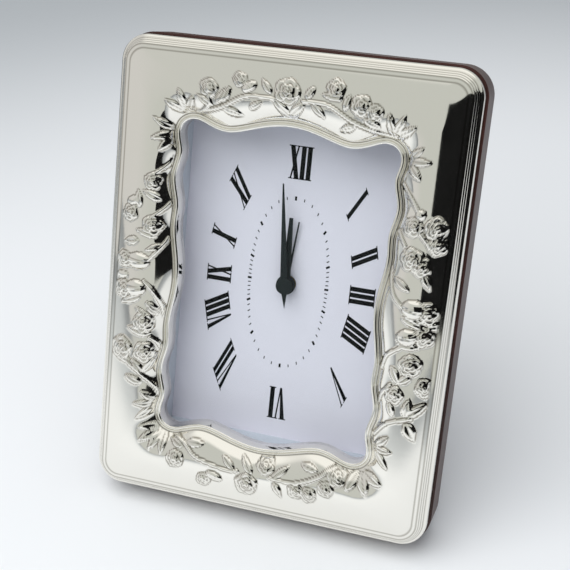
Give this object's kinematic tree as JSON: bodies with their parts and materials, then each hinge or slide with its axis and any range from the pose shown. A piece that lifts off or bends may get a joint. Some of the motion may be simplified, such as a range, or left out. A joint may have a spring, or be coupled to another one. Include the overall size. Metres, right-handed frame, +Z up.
{
  "type": "photo frame clock",
  "caption": "Standing picture-frame clock: embossed silver front on a wood frame, wavy opening over a sunk Roman dial, quartz alarm movement and a folding strut.",
  "frame": {"origin": "middle of the bounding box's base, on the floor it stands on", "axes": "+X to the reader's right, +Y to the back, +Z up"},
  "size_m": [0.1456, 0.085, 0.1879],
  "materials": {
    "silver": "polished silver plate",
    "mahogany": "dark stained, satin lacquer",
    "glass": "clear float glass",
    "white_card": "matt card",
    "dial_card": "matt printed card",
    "fibreboard": "pressed hardboard",
    "brass": "stamped, lightly polished",
    "steel": "zinc plated",
    "black_plastic": "moulded, fine grain",
    "white_plastic": "moulded acetal",
    "copper": "enamelled copper wire",
    "board": "laminate with green resist",
    "resin": "poured epoxy",
    "cell_wrap": "plain film wrap over a metal can",
    "hand_paint": "matt charcoal paint"
  },
  "bodies": {
    "frame": {"silver_front": "silver", "wood_frame": "mahogany", "glass_pane": "glass", "spacer_frame": "white_card", "dial": "dial_card", "dial_plate": "fibreboard", "back_panel": "mahogany", "clip_screws": "steel", "fixed_leaf": "brass", "hinge_pin": "steel", "panel_screws": "steel", "movement_case": "black_plastic", "movement_back": "black_plastic", "centre_bush": "brass", "movement_screws": "steel", "contact_left": "steel", "contact_right": "steel", "circuit_board": "board", "crystal": "steel", "chip_cover": "resin", "buzzer": "steel", "stator": "steel", "coil_core": "steel", "coil_bobbin": "white_plastic", "coil_winding": "copper"},
    "strut_leg": {"strut": "mahogany", "moving_leaf": "brass", "strut_screws": "steel"},
    "minute_drive": {"minute_arbor": "brass", "minute_hand": "hand_paint"},
    "hour_drive": {"hour_wheel": "white_plastic", "hour_hand": "hand_paint"},
    "alarm_drive": {"alarm_wheel": "white_plastic", "alarm_hand": "hand_paint"},
    "minute_wheel": {"minute_wheel": "white_plastic"},
    "set_knob": {"set_knob": "black_plastic"},
    "alarm_knob": {"alarm_knob": "black_plastic"},
    "rotor": {"rotor": "white_plastic"},
    "intermediate_wheel": {"intermediate_wheel": "white_plastic"},
    "seconds_wheel": {"seconds_wheel": "white_plastic"},
    "third_wheel": {"third_wheel": "white_plastic"},
    "centre_wheel": {"centre_wheel": "white_plastic"},
    "alarm_switch": {"alarm_switch": "black_plastic"},
    "battery": {"battery": "cell_wrap"},
    "clip_top_left": {"clip_top_left": "brass"},
    "clip_top_right": {"clip_top_right": "brass"},
    "clip_bottom_left": {"clip_bottom_left": "brass"},
    "clip_bottom_right": {"clip_bottom_right": "brass"}
  },
  "joints": [
    {"name": "strut_hinge", "type": "hinge", "parent": "frame", "child": "strut_leg", "pos_m": [0, 0.00256, 0.05178], "axis": [1, 0, 0], "range_deg": [-32, 0]},
    {"name": "minute_turn", "type": "hinge", "parent": "frame", "child": "minute_drive", "pos_m": [0, 0.00676, 0.09238], "axis": [0, -0.9511, 0.309], "continuous": true},
    {"name": "hour_turn", "type": "hinge", "parent": "frame", "child": "hour_drive", "pos_m": [0, 0.00676, 0.09238], "axis": [0, -0.9511, 0.309], "continuous": true},
    {"name": "minute_wheel_turn", "type": "hinge", "parent": "frame", "child": "minute_wheel", "pos_m": [0.00761, 0.01479, 0.08604], "axis": [0, -0.9511, 0.309], "continuous": true},
    {"name": "set_knob_turn", "type": "hinge", "parent": "frame", "child": "set_knob", "pos_m": [0.01489, 0.01609, 0.09003], "axis": [0, -0.9511, 0.309], "continuous": true},
    {"name": "alarm_turn", "type": "hinge", "parent": "frame", "child": "alarm_drive", "pos_m": [0, 0.00676, 0.09238], "axis": [0, -0.9511, 0.309], "continuous": true},
    {"name": "alarm_knob_turn", "type": "hinge", "parent": "frame", "child": "alarm_knob", "pos_m": [-0.01128, 0.01462, 0.08551], "axis": [0, -0.9511, 0.309], "continuous": true},
    {"name": "seconds_turn", "type": "hinge", "parent": "frame", "child": "seconds_wheel", "pos_m": [-0.00559, 0.01982, 0.1015], "axis": [0, -0.9511, 0.309], "continuous": true},
    {"name": "intermediate_turn", "type": "hinge", "parent": "frame", "child": "intermediate_wheel", "pos_m": [0.00263, 0.02074, 0.10435], "axis": [0, -0.9511, 0.309], "continuous": true},
    {"name": "rotor_turn", "type": "hinge", "parent": "frame", "child": "rotor", "pos_m": [0.01149, 0.02026, 0.10286], "axis": [0, -0.9511, 0.309], "continuous": true},
    {"name": "third_turn", "type": "hinge", "parent": "frame", "child": "third_wheel", "pos_m": [-0.00779, 0.01728, 0.09369], "axis": [0, -0.9511, 0.309], "continuous": true},
    {"name": "centre_turn", "type": "hinge", "parent": "frame", "child": "centre_wheel", "pos_m": [0, 0.01589, 0.08942], "axis": [0, -0.9511, 0.309], "continuous": true},
    {"name": "alarm_switch_slide", "type": "slide", "parent": "frame", "child": "alarm_switch", "axis": [1, 0, 0], "range_m": [0, 0.003]},
    {"name": "battery_slide", "type": "slide", "parent": "frame", "child": "battery", "axis": [0, 0.9511, -0.309], "range_m": [0, 0.016]},
    {"name": "clip_top_left_turn", "type": "hinge", "parent": "frame", "child": "clip_top_left", "pos_m": [-0.0535, 0.02735, 0.13406], "axis": [0, -0.9511, 0.309], "range_deg": [0, 90]},
    {"name": "clip_top_right_turn", "type": "hinge", "parent": "frame", "child": "clip_top_right", "pos_m": [0.0535, 0.02735, 0.13406], "axis": [0, -0.9511, 0.309], "range_deg": [-90, 0]},
    {"name": "clip_bottom_left_turn", "type": "hinge", "parent": "frame", "child": "clip_bottom_left", "pos_m": [-0.0535, -0.00108, 0.04656], "axis": [0, -0.9511, 0.309], "range_deg": [0, 90]},
    {"name": "clip_bottom_right_turn", "type": "hinge", "parent": "frame", "child": "clip_bottom_right", "pos_m": [0.0535, -0.00108, 0.04656], "axis": [0, -0.9511, 0.309], "range_deg": [-90, 0]}
  ],
  "couplings": [
    {"joint": "hour_turn", "follows": "minute_turn", "ratio": 0.083333},
    {"joint": "minute_wheel_turn", "follows": "minute_turn", "ratio": -0.33333},
    {"joint": "set_knob_turn", "follows": "minute_turn", "ratio": 1},
    {"joint": "alarm_knob_turn", "follows": "alarm_turn", "ratio": -1.1429},
    {"joint": "intermediate_turn", "follows": "seconds_turn", "ratio": -6},
    {"joint": "rotor_turn", "follows": "seconds_turn", "ratio": 30},
    {"joint": "third_turn", "follows": "seconds_turn", "ratio": -0.13333},
    {"joint": "centre_turn", "follows": "seconds_turn", "ratio": 0.016667}
  ]
}
